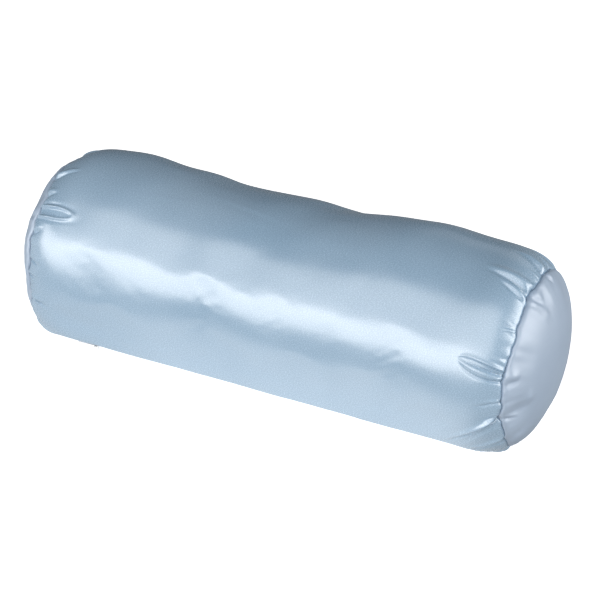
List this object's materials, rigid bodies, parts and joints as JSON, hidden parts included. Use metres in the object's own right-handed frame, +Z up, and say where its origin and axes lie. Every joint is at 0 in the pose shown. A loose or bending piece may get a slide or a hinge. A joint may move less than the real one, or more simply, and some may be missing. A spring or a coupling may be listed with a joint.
{
  "type": "bolster pillow",
  "caption": "Round bolster pillow with a satin zip-off cover, softly bulging ends with sewn seams, and a fibre-stuffed liner inside.",
  "frame": {"origin": "middle of the pressed-flat resting side, on the surface that the pillow lies on", "axes": "+X along the roll towards the end where the zip opens to, +Z up, -Y towards the side that the zip is on"},
  "size_m": [0.474, 0.176, 0.171],
  "materials": {
    "cover_satin": "light blue satin, glossy along the roll",
    "liner_ticking": "plain off-white cotton weave, matt",
    "fill_fibre": "loose white polyester fibre",
    "sewing_thread": "polyester thread, slight sheen",
    "zip_tape": "woven polyester tape, matt",
    "zip_nylon": "moulded nylon coil",
    "zip_metal": "nickel-plated die-cast zinc",
    "label_cloth": "blank woven satin ribbon"
  },
  "bodies": {
    "pillow": {"fibre_fill": "fill_fibre", "liner_sleeve": "liner_ticking", "liner_left_end": "liner_ticking", "liner_right_end": "liner_ticking", "liner_seam_left": "sewing_thread", "liner_seam_right": "sewing_thread", "liner_closing_stitch": "sewing_thread", "care_label": "label_cloth", "cover_sleeve": "cover_satin", "cover_left_end": "cover_satin", "cover_right_end": "cover_satin", "seam_thread_left": "sewing_thread", "seam_thread_right": "sewing_thread", "zip_tape_front": "zip_tape", "zip_tape_back": "zip_tape", "zip_coil_front": "zip_nylon", "zip_coil_back": "zip_nylon", "zip_stitch_front": "sewing_thread", "zip_stitch_back": "sewing_thread", "zip_tack_left": "sewing_thread", "zip_tack_right": "sewing_thread", "zip_top_stop_front": "zip_metal", "zip_top_stop_back": "zip_metal", "zip_bottom_stop": "zip_metal"},
    "slider": {"zip_slider": "zip_metal"},
    "pull": {"zip_pull": "zip_metal"}
  },
  "joints": [
    {"name": "zip_slide", "type": "slide", "parent": "pillow", "child": "slider", "axis": [0.9981, -0.0488, 0.0367], "range_m": [0, 0.3412]},
    {"name": "pull_swing", "type": "hinge", "parent": "slider", "child": "pull", "pos_m": [-0.17028, -0.04398, 0.00722], "axis": [-0.061, -0.7976, 0.6001], "range_deg": [0, 180]}
  ]
}
